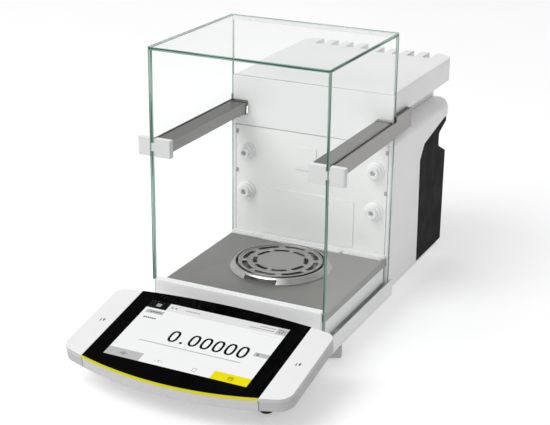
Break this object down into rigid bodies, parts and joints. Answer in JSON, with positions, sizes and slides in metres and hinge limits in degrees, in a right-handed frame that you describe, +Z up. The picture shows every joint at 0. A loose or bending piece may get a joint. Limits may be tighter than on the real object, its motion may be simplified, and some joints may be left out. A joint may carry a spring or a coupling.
{
  "type": "analytical balance",
  "caption": "Precision weighing balance with a tilting touch display, round pan and a glass draft shield with sliding side doors and roof.",
  "frame": {"origin": "centre of the balance's overall footprint, on the surface that it stands on", "axes": "+X to the right as the user faces the display, +Y to the back, +Z up"},
  "size_m": [0.241, 0.519, 0.308],
  "materials": {
    "white_paint": "satin powder paint",
    "white_plastic": "fine satin moulding",
    "dark_plastic": "fine grained moulding",
    "rubber": "matt",
    "clear_glass": "clear float glass with polished edges",
    "rail_alloy": "matt anodised",
    "brushed_steel": "fine brushed",
    "black_glass": "black backed gloss",
    "screen": "lit display behind gloss",
    "accent": "gloss",
    "circuit_board": "solder mask",
    "cell_alloy": "machined",
    "plated_metal": "nickel plated",
    "black_plastic": "moulded"
  },
  "bodies": {
    "base": {"base_frame": "white_paint", "chamber_skirt": "white_paint", "front_cover": "white_plastic", "rear_shell": "white_plastic", "top_housing": "white_plastic", "back_panel": "white_plastic", "rear_trims": "white_plastic", "port_plugs": "white_plastic", "panel_clips": "white_plastic", "roof_guide": "white_plastic", "socket_plate": "white_plastic", "back_cover": "dark_plastic", "display_bracket": "dark_plastic", "rear_feet": "rubber", "bracket_feet": "rubber", "front_glass": "clear_glass", "rear_glass": "clear_glass", "floor_plate": "brushed_steel", "pan_support": "brushed_steel", "main_board": "circuit_board", "supply_board": "circuit_board", "load_cell": "cell_alloy", "load_arm": "cell_alloy", "cell_cover": "cell_alloy", "base_screws": "plated_metal", "cover_screws": "plated_metal", "hinge_pins": "plated_metal", "network_socket": "plated_metal", "serial_socket": "plated_metal", "usb_sockets": "plated_metal", "lift_motor": "black_plastic", "power_socket": "black_plastic"},
    "left_door": {"left_upper_pane": "clear_glass", "left_lower_pane": "clear_glass", "left_door_rail": "rail_alloy", "left_rail_end": "dark_plastic", "left_door_handle": "white_plastic"},
    "right_door": {"right_upper_pane": "clear_glass", "right_lower_pane": "clear_glass", "right_door_rail": "rail_alloy", "right_rail_end": "dark_plastic", "right_door_handle": "white_plastic"},
    "roof": {"roof_glass": "clear_glass"},
    "pan": {"pan": "brushed_steel"},
    "draft_ring": {"draft_ring": "brushed_steel"},
    "display": {"display_shell": "white_plastic", "display_left_wing": "white_plastic", "display_right_wing": "white_plastic", "display_front_bar": "white_plastic", "accent_strip": "accent", "display_glass": "black_glass", "screen": "screen", "display_board": "circuit_board"},
    "left_foot_wheel": {"left_foot_knob": "white_plastic"},
    "left_foot": {"left_foot_pad": "brushed_steel"},
    "right_foot_wheel": {"right_foot_knob": "white_plastic"},
    "right_foot": {"right_foot_pad": "brushed_steel"},
    "adjustment_lift": {"weight_lifter": "cell_alloy", "adjustment_weight": "plated_metal"}
  },
  "joints": [
    {"name": "left_door_slide", "type": "slide", "parent": "base", "child": "left_door", "axis": [0, 1, 0], "range_m": [0, 0.15]},
    {"name": "right_door_slide", "type": "slide", "parent": "base", "child": "right_door", "axis": [0, 1, 0], "range_m": [0, 0.15]},
    {"name": "roof_slide", "type": "slide", "parent": "base", "child": "roof", "axis": [0, 1, 0], "range_m": [0, 0.15]},
    {"name": "pan_lift", "type": "slide", "parent": "base", "child": "pan", "axis": [0, 0, 1], "range_m": [0, 0.03]},
    {"name": "draft_ring_lift", "type": "slide", "parent": "base", "child": "draft_ring", "axis": [0, 0, 1], "range_m": [0, 0.03]},
    {"name": "display_tilt", "type": "hinge", "parent": "base", "child": "display", "pos_m": [0, -0.1565, 0.029], "axis": [1, 0, 0], "range_deg": [-8, 6]},
    {"name": "adjustment_weight_lift", "type": "slide", "parent": "base", "child": "adjustment_lift", "axis": [0, 0, 1], "range_m": [-0.0012, 0]},
    {"name": "left_foot_turn", "type": "hinge", "parent": "base", "child": "left_foot_wheel", "pos_m": [-0.082, -0.0645, 0.007], "axis": [0, 0, 1], "range_deg": [0, 1440]},
    {"name": "left_foot_drop", "type": "slide", "parent": "base", "child": "left_foot", "axis": [0, 0, -1], "range_m": [0, 0.005]},
    {"name": "right_foot_turn", "type": "hinge", "parent": "base", "child": "right_foot_wheel", "pos_m": [0.082, -0.0645, 0.007], "axis": [0, 0, 1], "range_deg": [0, 1440]},
    {"name": "right_foot_drop", "type": "slide", "parent": "base", "child": "right_foot", "axis": [0, 0, -1], "range_m": [0, 0.005]}
  ],
  "couplings": [
    {"joint": "left_foot_turn", "follows": "left_foot_drop", "rad_per_m": 5026.5},
    {"joint": "right_foot_turn", "follows": "right_foot_drop", "rad_per_m": 5026.5}
  ]
}
